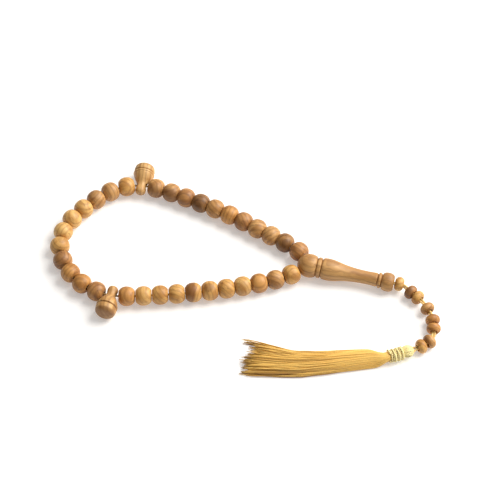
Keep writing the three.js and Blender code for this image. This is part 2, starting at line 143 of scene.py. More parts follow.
# From the mouth of the imame to the tassel: x and y from the mouth, and the height over a lying bead's axis.
TAIL_ROUTE = [
    (0, 0, 0.0009),
    (0.0025, 0, 0.0005),
    (0.0046, -0.0014, 0.0001),
    (0.0066, -0.0038, 0),
    (0.0093, -0.0063, 0),
    (0.0114, -0.0089, 0),
    (0.0129, -0.0117, 0),
    (0.014, -0.0145, 0),
    (0.0146, -0.0174, 0),
    (0.0146, -0.021, 0),
    (0.0144, -0.0237, 0),
    (0.0135, -0.0259, 0),
    (0.012, -0.0272, 0),
    (0.0094, -0.0288, 0),
    (0.0063, -0.0302, 0),
]


class Line:
    """A smooth line through points, with places on it given by the distance along it."""

    def __init__(self, points, spans=40):
        points = np.array(points, float)
        before = 2 * points[0] - points[1]
        after = 2 * points[-1] - points[-2]
        padded = np.vstack([before, points, after])
        fine = [span_points(padded[i : i + 4], spans) for i in range(len(points) - 1)]
        self.points = np.vstack([*fine, points[-1:]])
        steps = np.linalg.norm(np.diff(self.points, axis=0), axis=1)
        self.distances = np.concatenate([[0], np.cumsum(steps)])
        self.length = self.distances[-1]

    def at(self, distance):
        """The point or points at one or more distances."""
        return np.stack([np.interp(distance, self.distances, c) for c in self.points.T], axis=-1)

    def nearest(self, point):
        """The distance along the line of the place nearest to a point."""
        gaps = np.linalg.norm(self.points - np.array(point), axis=1)
        return float(self.distances[gaps.argmin()])


def span_points(four, count):
    """Points of a centripetal Catmull-Rom span between the second and third of four points."""
    p0, p1, p2, p3 = four
    d0, d1, d2 = (math.sqrt(np.linalg.norm(b - a)) for a, b in ((p0, p1), (p1, p2), (p2, p3)))
    m1 = (p1 - p0) / d0 - (p2 - p0) / (d0 + d1) + (p2 - p1) / d1
    m2 = (p2 - p1) / d1 - (p3 - p1) / (d1 + d2) + (p3 - p2) / d2
    m1, m2 = m1 * d1, m2 * d1
    t = np.linspace(0, 1, count, endpoint=False)[:, None]
    c2 = 3 * (p2 - p1) - 2 * m1 - m2
    c3 = 2 * (p1 - p2) + m1 + m2
    return p1 + m1 * t + c2 * t**2 + c3 * t**3


def heading(turn, tilt=0.0):
    return Vector((math.cos(tilt) * math.cos(turn), math.cos(tilt) * math.sin(turn), math.sin(tilt)))


imame_axis = heading(IMAME_HEADING, IMAME_TILT)
mouth = BALL_CENTRE + imame_axis * (IMAME_LENGTH - BALL_RADIUS)

loop_points = [
    (BALL_CENTRE.x + x * LOOP_SCALE, BALL_CENTRE.y + y * LOOP_SCALE, BEAD_DIAMETER / 2)
    for x, y in LOOP_ROUTE
]
loop_points[0] = tuple(BALL_CENTRE)
loop_points[-1] = tuple(BALL_CENTRE)
loop_line = Line(loop_points)

tail_line = Line(
    [
        (mouth.x + x * TAIL_SCALE, mouth.y + y * TAIL_SCALE, TAIL_BEAD_DIAMETER / 2 + rise)
        for x, y, rise in TAIL_ROUTE
    ]
)
head_tip = Vector(tail_line.at(tail_line.length))


# ---- Building meshes ----


def frame_at(point, axis):
    """The frame at a point whose +Z runs along an axis and whose +X is as near to up as can be."""
    along = Vector(axis).normalized()
    across = along.cross(UP).normalized()
    up = across.cross(along)
    rows = [[up[i], across[i], along[i], point[i]] for i in range(3)]
    return Matrix([*rows, [0, 0, 0, 1]])


def link(name, mesh, smooth=True):
    if smooth:
        mesh.shade_smooth()
    made = bpy.data.objects.new(name, mesh)
    bpy.context.collection.objects.link(made)
    return made


END_BULGE = 0.6  # how far a thread's end stands out, in its radii


class Strands:
    """Many round strands gathered into one mesh, each with its own shade number."""

    def __init__(self):
        self.verts = []
        self.faces = []
        self.shades = []
        self.count = 0

    def add(self, points, radius, sides, shade):
        """One strand along points. radius and shade are each one number, or one for each point."""
        points = np.array(points, float)
        n = len(points)
        radius = np.broadcast_to(np.array(radius, float), n)
        tangents = np.gradient(points, axis=0)
        tangents /= np.linalg.norm(tangents, axis=1)[:, None]
        side = carried_normals(tangents)
        other = np.cross(tangents, side)
        angles = np.arange(sides) * 2 * math.pi / sides
        across = np.cos(angles)[None, :, None] * side[:, None]
        ring = across + np.sin(angles)[None, :, None] * other[:, None]
        body = points[:, None] + radius[:, None, None] * ring
        first_end = points[0] - tangents[0] * radius[0] * END_BULGE
        last_end = points[-1] + tangents[-1] * radius[-1] * END_BULGE
        ends = np.stack([first_end, last_end])
        self.verts += [body.reshape(-1, 3), ends]
        a = self.count + np.arange(n - 1)[:, None] * sides + np.arange(sides)[None, :]
        b = self.count + np.arange(n - 1)[:, None] * sides + (np.arange(sides)[None, :] + 1) % sides
        self.faces += np.stack([a, b, b + sides, a + sides], axis=-1).reshape(-1, 4).tolist()
        first, last = self.count + n * sides, self.count + n * sides + 1
        for i in range(sides):
            j = (i + 1) % sides
            self.faces.append([self.count + j, self.count + i, first])
            far = self.count + (n - 1) * sides
            self.faces.append([far + i, far + j, last])
        shade = np.broadcast_to(np.array(shade, float), n)
        self.shades += [np.repeat(shade, sides), shade[[0, -1]]]
        self.count += n * sides + 2

    def add_plies(self, points, radius, plies, pitch, sides, shade, start=0.0):
        """One twisted strand: plies wound round each other along points."""
        points = np.array(points, float)
        steps = np.linalg.norm(np.diff(points, axis=0), axis=1)
        along = np.concatenate([[0], np.cumsum(steps)])
        tangents = np.gradient(points, axis=0)
        tangents /= np.linalg.norm(tangents, axis=1)[:, None]
        side = carried_normals(tangents)
        other = np.cross(tangents, side)
        share = 1 / (1 + 1 / math.sin(math.pi / plies))
        ply_radius = radius * share * 1.08
        offset = radius - ply_radius
        for k in range(plies):
            turn = 2 * math.pi * (along / pitch + k / plies) + start
            centre = points + offset * (np.cos(turn)[:, None] * side + np.sin(turn)[:, None] * other)
            self.add(centre, ply_radius, sides, shade + 0.08 * k)

    def build(self, name):
        mesh = bpy.data.meshes.new(name)
        mesh.from_pydata(np.vstack(self.verts).tolist(), [], self.faces)
        shade = mesh.attributes.new("shade", "FLOAT", "POINT")
        shade.data.foreach_set("value", np.concatenate(self.shades).astype(np.float32))
        return link(name, mesh)


def carried_normals(tangents):
    """A normal at each point of a line, carried along it with as little turning as can be."""
    start = np.cross(tangents[0], [0, 0, 1])
    if np.linalg.norm(start) < 1e-6:
        start = np.array([1.0, 0, 0])
    normals = [start / np.linalg.norm(start)]
    for tangent in tangents[1:]:
        n = normals[-1] - tangent * np.dot(normals[-1], tangent)
        normals.append(n / np.linalg.norm(n))
    return np.array(normals)


def rounded(runs, steps=6):
    """A profile of [distance along the axis, radius] from runs of points.

    It is smooth within a run and has a corner between two.
    """
    profile = []
    for run in runs:
        run = np.array(run, float)
        if len(run) < 3:
            profile += run.tolist()
            continue
        padded = np.vstack([2 * run[0] - run[1], run, 2 * run[-1] - run[-2]])
        for i in range(len(run) - 1):
            profile += span_points(padded[i : i + 4], steps).tolist()
        profile.append(run[-1].tolist())
    return profile


def smooth_share(value, low, high):
    share = np.clip((value - low) / (high - low), 0, 1)
    return share * share * (3 - 2 * share)


def turned(name, profile, segments, place):
    """A turned piece about its local +Z. A profile that starts and ends on the axis is closed there."""
    profile = [p for i, p in enumerate(profile) if i == 0 or math.dist(p, profile[i - 1]) > 1e-6]
    ring = len(profile) > 2 and math.dist(profile[0], profile[-1]) < 1e-6
    if ring:
        profile = profile[:-1]
    mesh = bmesh.new()
    rows = []
    for along, radius in profile:
        if radius < 1e-6:
            rows.append([mesh.verts.new((0, 0, along))])
            continue
        row = []
        for i in range(segments):
            angle = 2 * math.pi * i / segments
            row.append(mesh.verts.new((radius * math.cos(angle), radius * math.sin(angle), along)))
        rows.append(row)
    pairs = list(zip(rows, rows[1:]))
    if ring:
        pairs.append((rows[-1], rows[0]))
    for low, high in pairs:
        for i in range(segments):
            j = (i + 1) % segments
            corners = [low[i % len(low)], low[j % len(low)], high[j % len(high)], high[i % len(high)]]
            unique = list(dict.fromkeys(corners))
            if len(unique) > 2:
                mesh.faces.new(unique)
    bmesh.ops.recalc_face_normals(mesh, faces=mesh.faces)
    data = bpy.data.meshes.new(name)
    mesh.to_mesh(data)
    mesh.free()
    data.transform(place)
    return link(name, data)


def drill(piece, holes):
    """Cuts round holes, each (from, to, diameter), and keeps the result as the piece's own mesh."""
    tools = []
    for start, end, diameter in holes:
        start, end = Vector(start), Vector(end)
        profile = [(0, 0), (0, diameter / 2), ((end - start).length, diameter / 2), ((end - start).length, 0)]
        tool = turned("tool", profile, 24, frame_at(start, end - start))
        cut = piece.modifiers.new("hole", "BOOLEAN")
        cut.object = tool
        cut.solver = "EXACT"
        tools.append(tool)
    evaluated = piece.evaluated_get(bpy.context.evaluated_depsgraph_get())
    mesh = bpy.data.meshes.new_from_object(evaluated)
    piece.modifiers.clear()
    piece.data = mesh
    for tool in tools:
        bpy.data.objects.remove(tool)


# ---- Materials ----


def srgb(red, green, blue):
    """A screen colour from 0 to 255 as the linear colour that sockets take."""
    linear = [((c / 255 + 0.055) / 1.055) ** 2.4 if c > 10 else c / 255 / 12.92 for c in (red, green, blue)]
    return (*linear, 1)


class Nodes:
    """A material's node tree, built a node at a time."""

    def __init__(self, name):
        self.material = bpy.data.materials.new(name)
        self.material.use_nodes = True
        self.tree = self.material.node_tree
        self.tree.nodes.clear()
        self.shader = self.add("ShaderNodeBsdfPrincipled")
        output = self.add("ShaderNodeOutputMaterial")
        self.tree.links.new(self.shader.outputs[0], output.inputs[0])

    def add(self, kind, **settings):
        node = self.tree.nodes.new(kind)
        for name, value in settings.items():
            setattr(node, name, value)
        return node

    def set(self, node, **values):
        for name, value in values.items():
            socket = node.inputs[name.replace("_", " ")]
            if hasattr(value, "is_output"):
                self.tree.links.new(value, socket)
            else:
                socket.default_value = value
        return node

    def attribute(self, name, output):
        return self.add("ShaderNodeAttribute", attribute_name=name).outputs[output]

    def scaled(self, vector, scale, shift=(0, 0, 0)):
        node = self.add("ShaderNodeMapping")
        self.set(node, Vector=vector, Scale=scale, Location=shift)
        return node.outputs[0]

    def noise(self, vector, scale, detail=2.0, roughness=0.5, distortion=0.0):
        node = self.add("ShaderNodeTexNoise")
        self.set(node, Vector=vector, Scale=scale, Detail=detail, Roughness=roughness, Distortion=distortion)
        return node.outputs[0]

    def ramp(self, factor, *stops, curve="LINEAR"):
        node = self.add("ShaderNodeValToRGB")
        node.color_ramp.interpolation = curve
        elements = node.color_ramp.elements
        while len(elements) < len(stops):
            elements.new(0.5)
        for element, (position, colour) in zip(elements, stops):
            element.position = position
            element.color = colour if hasattr(colour, "__len__") else (colour, colour, colour, 1)
        self.tree.links.new(factor, node.inputs[0])
        return node.outputs[0]

    def mix(self, factor, first, second, blend="MIX"):
        node = self.add("ShaderNodeMix", data_type="RGBA", blend_type=blend)
        for socket, value in ((node.inputs[0], factor), (node.inputs[6], first), (node.inputs[7], second)):
            if hasattr(value, "is_output"):
                self.tree.links.new(value, socket)
            else:
                socket.default_value = value
        return node.outputs[2]

    def maths(self, kind, first, second, third=0.0):
        node = self.add("ShaderNodeMath", operation=kind)
        for socket, value in zip(node.inputs, (first, second, third)):
            if hasattr(value, "is_output"):
                self.tree.links.new(value, socket)
            else:
                socket.default_value = value
        return node.outputs[0]

    def bump(self, height, strength, distance):
        node = self.add("ShaderNodeBump")
        self.set(node, Height=height, Strength=strength, Distance=distance)
        self.tree.links.new(node.outputs[0], self.shader.inputs["Normal"])


def wood(name, light, middle, vein):
    """Polished olive wood. It reads the grain attribute: millimetres, with the fibres along its third number.

    The stain_and_painted_shade attribute darkens it, from 0 to 1: darker wood and end grain, and painted
    shade in grooves, under the beads and on bead sides turned away from the light.
    """
    made = Nodes(name)
    grain = made.attribute("grain", "Vector")
    figure = made.noise(made.scaled(grain, (0.3, 0.3, 0.06)), 1.0, 3.0, 0.55, 0.5)
    rings = made.add("ShaderNodeTexWave", wave_type="RINGS", rings_direction="Z")
    made.set(rings, Vector=grain, Scale=0.2, Distortion=3.0, Detail=2.0, Detail_Scale=1.1)
    veins = made.noise(made.scaled(grain, (0.75, 0.75, 0.09), (7, 3, 1)), 1.0, 2.0, 0.55, 0.6)
    fibres = made.noise(made.scaled(grain, (6, 6, 0.5)), 1.0, 3.0, 0.65)
    pores = made.noise(made.scaled(grain, (12, 12, 1.1), (3, 5, 2)), 1.0, 1.0, 0.5)
    tone = made.ramp(figure, (0.36, middle), (0.6, light), curve="EASE")
    ring_share = made.ramp(rings.outputs["Fac"], (0.15, 0.34), (0.42, 0.0), curve="EASE")
    tone = made.mix(ring_share, tone, vein)
    vein_share = made.ramp(veins, (0.6, 0.0), (0.74, 0.6), curve="EASE")
    tone = made.mix(vein_share, tone, vein)
    fibre_shade = made.ramp(fibres, (0.3, 0.86), (0.7, 1.05))
    tone = made.mix(1.0, tone, fibre_shade, "MULTIPLY")
    pore_share = made.ramp(pores, (0.68, 0.0), (0.76, 0.25))
    tone = made.mix(pore_share, tone, vein)
    # Darker wood and painted shade together: the stain_and_painted_shade attribute pulls the tone towards the
    # vein colour.
    tone = made.mix(made.attribute("stain_and_painted_shade", "Fac"), tone, vein)
    roughness = made.maths("MULTIPLY_ADD", fibres, 0.2, 0.4)
    made.set(made.shader, Base_Color=tone, Roughness=roughness)
    made.set(made.shader, Coat_Weight=0.1, Coat_Roughness=0.35, Specular_IOR_Level=0.45)
    made.bump(made.maths("SUBTRACT", fibres, pore_share), 0.22, 0.0001)
    return made.material


def yarn(name, light, dark, roughness, sheen):
    """Silky thread. It reads each strand's shade attribute and a fine lengthwise sparkle. The shade holds
    painted shade on the loop's strand, and painted shade and painted highlights on the skirt.
    """
    made = Nodes(name)
    shade = made.attribute("shade", "Fac")
    where = made.add("ShaderNodeTexCoord").outputs["Object"]
    fibre = made.noise(made.scaled(where, (2600, 2600, 2600)), 1.0, 2.0, 0.6)
    tone = made.ramp(shade, (0.0, dark), (0.75, light))
    tone = made.mix(1.0, tone, made.ramp(fibre, (0.3, 0.86), (0.7, 1.08)), "MULTIPLY")
    made.set(made.shader, Base_Color=tone, Roughness=made.maths("MULTIPLY_ADD", fibre, 0.2, roughness))
    made.set(made.shader, Sheen_Weight=sheen, Sheen_Roughness=0.35, Sheen_Tint=srgb(255, 236, 190))
    made.set(made.shader, Specular_IOR_Level=0.6)
    made.bump(fibre, 0.2, 0.00005)
    return made.material


WOODS = {
    "wood_pale": wood("olive_wood_pale", srgb(230, 184, 110), srgb(204, 150, 78), srgb(150, 96, 44)),
    "wood_ochre": wood("olive_wood_ochre", srgb(218, 166, 92), srgb(188, 132, 64), srgb(128, 80, 34)),
    "wood_tan": wood("olive_wood_tan", srgb(206, 156, 94), srgb(176, 124, 66), srgb(114, 72, 36)),
    "wood_orange": wood("olive_wood_orange", srgb(208, 150, 80), srgb(176, 118, 56), srgb(118, 72, 30)),
    "wood_brown": wood("olive_wood_brown", srgb(188, 134, 76), srgb(154, 102, 52), srgb(96, 58, 27)),
    "wood_dark": wood("olive_wood_dark", srgb(166, 118, 64), srgb(132, 88, 42), srgb(74, 44, 18)),
    "wood_marker": wood("olive_wood_marker", srgb(214, 168, 104), srgb(188, 138, 78), srgb(126, 80, 40)),
    "wood_imame": wood("olive_wood_imame", srgb(208, 160, 98), srgb(182, 132, 74), srgb(126, 82, 42)),
}
YARNS = {
    # The cord's dark colour is painted shade: the loop's strand takes it, standing in for the shade between
    # the beads.
    "cord": yarn("golden_cord", srgb(244, 208, 128), srgb(112, 74, 30), 0.35, 0.25),
    "tassel_yarn": yarn("silky_yarn", srgb(248, 202, 104), srgb(140, 84, 24), 0.3, 0.15),
    # Also drawn on the tassel's head, where its paleness is a painted highlight.
    "tassel_binding": yarn("binding_and_highlit_head_yarn", srgb(255, 240, 172), srgb(156, 104, 40), 0.3, 0.3),
}


def add_grain(piece, place, turn, shift):
    """Stores where each point lies in the wood that the piece was cut from, in millimetres."""
    to_wood = Euler(turn).to_matrix().to_4x4() @ place.inverted()
    points = [(to_wood @ v.co) / MM + Vector(shift) for v in piece.data.vertices]
    grain = piece.data.attributes.new("grain", "FLOAT_VECTOR", "POINT")
    grain.data.foreach_set("vector", np.array(points, np.float32).ravel())


def add_stain(piece, centre, direction, start, end, amount, grooves=()):
    """Stores how much darker each point is: rising to an amount between two distances from the centre along a
    direction, and dark in each groove, given by its distance along the direction. The dark in the grooves is
    painted shade."""
    direction = np.array(Vector(direction).normalized())
    along = (np.array([tuple(v.co) for v in piece.data.vertices]) - np.array(centre)) @ direction
    share = amount * smooth_share(along, start, end)
    # Painted shade: each groove is darkened.
    for groove in grooves:
        share = np.maximum(share, 0.75 * np.exp(-(((along - groove) / 0.00018) ** 2)))
    stain_and_painted_shade = piece.data.attributes.new("stain_and_painted_shade", "FLOAT", "POINT")
    stain_and_painted_shade.data.foreach_set("value", share.astype(np.float32))


def finish_piece(piece, material, slot, body, *nodes):
    piece.data.materials.clear()
    piece.data.materials.append(material)
    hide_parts(*nodes)
    if body:
        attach(piece, body)


def slot_of(node):
    return next(part["material_slot"] for part in frame["record"]["subparts"] if part["node"] == node)


# ---- The loop's cord ----

strand_line = loop_line.at(np.linspace(2 * STRAND_DIAMETER, loop_line.length - 2 * STRAND_DIAMETER, 900))
loop_strand = Strands()
# A low shade number paints the loop's strand dark: painted shade between the beads.
loop_strand.add_plies(strand_line, STRAND_DIAMETER / 2, 3, 0.0028, 6, 0.1)
loop_cord = loop_strand.build("loop_strand")
finish_piece(loop_cord, YARNS["cord"], "cord", "imame_and_loop", "loop_cord")

# ---- The tail's cord: two strands side by side, in stretches ----

TAIL_BEADS = ["tail_bead_" + str(i) for i in range(1, 9)]
bead_at = {name: tail_line.nearest(JOINTS["spin_" + name]["pos_m"]) for name in TAIL_BEADS}

# Each stretch: its two bodies, the solids that it stands for, the bead in which it ends,
# and the pieces between which it bends.
STRETCHES = [
    ("imame_and_loop", "tail_1", ["imame_cord", "tail_cord_1"], "tail_bead_3", "tail_bead_1", "tail_bead_2"),
    ("tail_1", "tail_2", ["tail_cord_2"], "tail_bead_4", "tail_bead_3", "tail_bead_4"),
    ("tail_2", "tail_3", ["tail_cord_3"], "tail_bead_6", "tail_bead_4", "tail_bead_5"),
    ("tail_3", "tail_4", ["tail_cord_4"], "tail_bead_8", "tail_bead_6", "tail_bead_7"),
    ("tail_4", "tassel", ["tassel_cord"], None, "tail_bead_8", None),
]
STRAND_TURN = 0.016  # the two strands go once round each other in this length
HALF_BEAD = TAIL_BEAD_LENGTH / 2
EYE_DEPTH = 0.0021
tassel_axis = heading(TASSEL_HEADING)

cord_start = BALL_CENTRE + imame_axis * CORD_START_PAST_CENTRE
inside = Line([tuple(cord_start), tuple(BALL_CENTRE.lerp(mouth, 0.5)), tuple(mouth)])
whole = np.vstack(
    [
        inside.at(np.linspace(0, inside.length, 60, endpoint=False)),
        tail_line.at(np.linspace(0, tail_line.length, 160, endpoint=False)),
        [tuple(head_tip + tassel_axis * d) for d in np.linspace(0, EYE_DEPTH, 8)],
    ]
)
whole_line = Line(whole, 3)
tail_starts = inside.length


def doubled_cord(name, start, end, spread_end):
    """Two twisted strands side by side along the tail. They part towards the tassel, whose head they hold."""
    count = max(16, int((end - start) / 0.00022))
    along = np.linspace(start, end, count)
    points = whole_line.at(along)
    tangents = np.gradient(points, axis=0)
    tangents /= np.linalg.norm(tangents, axis=1)[:, None]
    flat = np.cross(tangents, [0, 0, 1])
    flat /= np.linalg.norm(flat, axis=1)[:, None]
    upward = np.cross(flat, tangents)
    turn = 2 * math.pi * along / STRAND_TURN
    made = Strands()
    apart = np.full(count, STRAND_DIAMETER / 2 * 0.96)
    if spread_end:
        share = np.clip((along - spread_end) / (end - spread_end), 0, 1)
        apart = apart + 0.00085 * share * share * (3 - 2 * share)
        turn = turn[0] * (1 - share) + round(turn[0] / math.pi) * math.pi * share
    for side in (1, -1):
        sideways = np.cos(turn)[:, None] * flat + np.sin(turn)[:, None] * upward
        centre = points + side * apart[:, None] * sideways
        made.add_plies(centre, STRAND_DIAMETER / 2, 3, 0.0022, 7, 0.6 + 0.1 * side, side)
    return made.build(name)


stretch_start = 0.0
for i, (before, after, nodes, last_bead, near_bead, far_bead) in enumerate(STRETCHES):
    end = tail_starts + bead_at[last_bead] if last_bead else whole_line.length
    spread = None if last_bead else tail_starts + bead_at[near_bead] + HALF_BEAD
    piece = doubled_cord("tail_strands_" + str(i + 1), stretch_start, end, spread)
    finish_piece(piece, YARNS["cord"], "cord", None, *nodes)
    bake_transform(piece)
    stretch_start = end

# ---- Beads ----

dice = random.Random(33)


BEAD_FULLNESS = 2.25  # 2 would give an ellipse, and more a fuller barrel

# Beads with a darker side: the direction that it faces, from where it starts to where it is full,
# and its strength. Most of these sides face left or towards the front, away from the light, and there the
# darkening is painted shade; the others are darker wood.
SIDE_STAINS_AND_PAINTED_SHADE = {
    "bead_02": ((-0.3, -0.6, -0.5), -0.5, 2.5, 0.4),
    "bead_08": ((-0.6, -0.3, 0.3), -1.5, 3.0, 0.35),
    "bead_10": ((-0.3, -0.9, 0.1), 0.3, 2.2, 0.75),
    "bead_11": ((-0.5, -0.8, -0.1), -0.2, 2.6, 0.6),
    "bead_14": ((-0.4, 0.2, 0.8), 1.5, 3.2, 0.3),
    "bead_19": ((-0.8, -0.2, 0.2), -2.0, 2.0, 0.35),
    "bead_27": ((-0.9, -0.1, 0.3), -0.5, 0.9, 0.85),
    "bead_28": ((-0.1, -0.2, 1.0), 3.3, 3.7, 0.6),
    "bead_30": ((0.1, -0.9, 0.2), 0.8, 1.8, 0.4),
    "bead_32": ((-0.2, -0.9, -0.3), 0.6, 2.4, 0.4),
    "tail_bead_2": ((-0.6, -0.5, 0.1), -0.8, 1.8, 0.5),
    "tail_bead_5": ((0.2, 0.9, 0.2), 0.2, 2.0, 0.5),
    "tail_bead_7": ((-0.8, -0.1, 0.1), 0.0, 2.0, 0.5),
}
# Every other bead: painted shade, darker towards its underside.
PAINTED_UNDERSIDE_SHADE = ((0, 0, -1), 1.0, 4.0, 0.3)


def bead_profile(diameter, length, face_diameter, bore):
    """A barrel-shaped bead with flat ends, a softened rim round its bore, and the bore through it."""
    half, radius = length / 2, diameter / 2
    face = (face_diameter / diameter) ** BEAD_FULLNESS
    profile = [(-half + 0.00025, bore / 2), (-half + 0.00006, bore / 2 + 0.00006), (-half, bore / 2 + 0.0002)]
    count = 30
    for i in range(count + 1):
        t = math.sin(math.pi / 2 * (2 * i / count - 1))
        profile.append((half * t, radius * (1 - (1 - face) * abs(t) ** BEAD_FULLNESS) ** (1 / BEAD_FULLNESS)))
    profile += [(half, bore / 2 + 0.0002), (half - 0.00006, bore / 2 + 0.00006), (half - 0.00025, bore / 2)]
    profile.append(profile[0])
    return profile


def add_bead(node, diameter, length, face_diameter, bore, segments):
    joint = JOINTS["spin_" + node]
    place = frame_at(joint["pos_m"], joint["axis"])
    smaller = dice.uniform(0.98, 1.0)
    profile = bead_profile(diameter * smaller, length, face_diameter, bore)
    piece = turned(node + "_wood", profile, segments, place)
    turn = [dice.uniform(0, 2 * math.pi) for _ in range(3)]
    shift = [dice.uniform(-60, 60) for _ in range(3)]
    add_grain(piece, place, turn, shift)
    # The bead's darker side: painted shade on most beads, darker wood on a few.
    direction, start, end, amount = SIDE_STAINS_AND_PAINTED_SHADE.get(node, PAINTED_UNDERSIDE_SHADE)
    add_stain(piece, joint["pos_m"], direction, start * MM, end * MM, amount)
    slot = slot_of(node)
    finish_piece(piece, WOODS[slot], slot, node, node)


for i in range(1, 34):
    add_bead(f"bead_{i:02d}", BEAD_DIAMETER, BEAD_LENGTH, BEAD_FACE_DIAMETER, LOOP_BORE, 48)
for node in TAIL_BEADS:
    add_bead(node, TAIL_BEAD_DIAMETER, TAIL_BEAD_LENGTH, TAIL_BEAD_FACE_DIAMETER, TAIL_BORE, 40)

# ---- Markers ----

# Each run is smooth, with a corner where the next one starts: [distance from the tip, radius] in mm.
MARKER_RUNS = [
    [(0, 0), (0.06, 0.7), (0.3, 1.35), (0.8, 1.9), (1.6, 2.16), (2.4, 2.14), (3.3, 2), (4.2, 1.98), (5, 2.14),
     (5.8, 2.5), (6.6, 2.98), (7.4, 3.42), (8.2, 3.8), (8.9, 4.05), (9.4, 4.14)],
    [(9.46, 4.3), (9.6, 4.35), (10.1, 4.35), (10.22, 4.28)],
    [(10.26, 4.05), (10.45, 3.85), (10.64, 3.95)],
    [(10.7, 4.12), (11, 4.24), (12, 4.2), (13, 3.92), (13.7, 3.3), (14.1, 2.4), (14.35, 1.2), (14.4, 0)],
]
MARKER_GROOVE_AT = 0.01045


DOME_STAIN_FROM, DOME_STAIN_FULL = 0.0122, 0.0131  # along the marker from its tip


def add_marker(node, end_stain):
    joint = JOINTS["flip_" + node]
    hole = Vector(joint["pos_m"])
    sideways = Vector(joint["axis"])
    outward = Matrix.Rotation(MARKER_LEAN, 3, "Z") @ UP.cross(sideways).normalized()
    axis = outward * math.cos(MARKER_TILT) + UP * math.sin(MARKER_TILT)
    tip = hole - axis * MARKER_HOLE_FROM_TIP
    place = frame_at(tip, axis)
    profile = [(along * MM, radius * MM) for along, radius in rounded(MARKER_RUNS)]
    piece = turned(node + "_wood", profile, 56, place)
    drill(piece, [(hole - sideways * 0.005, hole + sideways * 0.005, LOOP_BORE)])
    lean = (dice.uniform(-0.1, 0.1), dice.uniform(-0.1, 0.1), 0)
    add_grain(piece, place, lean, (dice.uniform(-9, 9), 14, 20))
    # Darker end grain on the dome, and painted shade in the groove.
    add_stain(piece, tip, axis, DOME_STAIN_FROM, DOME_STAIN_FULL, end_stain, [MARKER_GROOVE_AT])
    finish_piece(piece, WOODS["wood_marker"], "wood_marker", node, node)


add_marker("upper_marker", 0.35)
add_marker("lower_marker", 0.65)

# ---- Imame ----

IMAME_RUNS = [
    [(4.8 - 4.8 * math.cos(math.radians(a)), 4.8 * math.sin(math.radians(a))) for a in range(0, 91, 9)]
    + [(5.6, 4.78), (6.4, 4.66), (7.1, 4.44), (7.6, 4.2), (7.8, 4.02)],
    [(7.84, 3.82), (8.02, 3.6), (8.2, 3.76)],
    [(8.25, 4), (8.5, 4.17), (9, 4.2), (9.5, 4.17), (9.72, 4)],
    [(9.78, 3.75), (9.98, 3.58), (10.15, 3.75)],
    [(10.2, 4.02), (10.6, 4.26), (11.6, 4.42), (13.2, 4.45), (15, 4.27), (16.8, 3.92), (19.7, 3.3),
     (23.9, 2.82), (28, 2.68), (31, 2.74), (32.65, 2.82)],
    [(32.72, 2.62), (32.95, 2.46), (33.2, 2.6)],
    [(33.28, 2.95), (33.5, 3.15), (33.85, 3.2), (34.2, 3.12), (34.4, 2.92)],
    [(34.48, 2.7), (34.68, 2.6), (34.86, 2.82)],
    [(34.95, 3.2), (35.4, 3.52), (36.2, 3.76), (37.2, 3.85), (38.1, 3.76), (38.9, 3.46), (39.4, 3.05),
     (39.6, 2.6), (39.6, 1.8), (39.6, 0)],
]
IMAME_GROOVES = [0.00802, 0.00998, 0.03295, 0.03468]

imame_nose = BALL_CENTRE - imame_axis * BALL_RADIUS
imame_place = frame_at(imame_nose, imame_axis)
imame = turned("imame_wood", [(a * MM, r * MM) for a, r in rounded(IMAME_RUNS)], 64, imame_place)
slant = 1.6 * BALL_RADIUS
drill(
    imame,
    [
        (BALL_CENTRE, mouth + imame_axis * 0.001, TAIL_BORE),
        (BALL_CENTRE, loop_line.at(slant), LOOP_BORE),
        (BALL_CENTRE, loop_line.at(loop_line.length - slant), LOOP_BORE),
    ],
)
add_grain(imame, imame_place, (0.05, 0.04, 0.6), (11, 5, 3))
# Darker towards the end cap, and painted shade in the grooves.
add_stain(imame, imame_nose, imame_axis, 0.034, 0.04, 0.25, IMAME_GROOVES)
finish_piece(imame, WOODS["wood_imame"], "wood_imame", "imame_and_loop", "imame")

# ---- Tassel ----

# The skirt: the distance back from the binding, how far its middle lies to one side, and half its width.
SKIRT_OUTLINE = [
    (0, -0.0003, 0.0028),
    (0.003, -0.0013, 0.0036),
    (0.007, -0.0025, 0.0042),
    (0.018, -0.005, 0.0049),
    (0.026, -0.0067, 0.0053),
    (0.034, -0.009, 0.006),
    (0.042, -0.0128, 0.0071),
    (0.05, -0.0171, 0.0082),
    (0.058, -0.0205, 0.0085),
]
HEAD_RADIUS = 0.0026
NECK_RADIUS = 0.0018
YARN_RADIUS = 0.00021
THREADS = 660
LOCKS = 26
AXIS_HEIGHT = TAIL_BEAD_DIAMETER / 2

tassel_place = Matrix.Translation(head_tip) @ Matrix.Rotation(TASSEL_HEADING, 4, "Z")


def to_frame(points):
    """Points along, across and above the tassel's axis, as points of the frame."""
    place = np.array(tassel_place)
    return points @ place[:3, :3].T + place[:3, 3]


def disc_points(count):
    """Points spread evenly over a disc of radius 1."""
    turn = math.pi * (3 - math.sqrt(5))
    return [
        (math.sqrt((i + 0.5) / count) * math.cos(i * turn), math.sqrt((i + 0.5) / count) * math.sin(i * turn))
        for i in range(count)
    ]


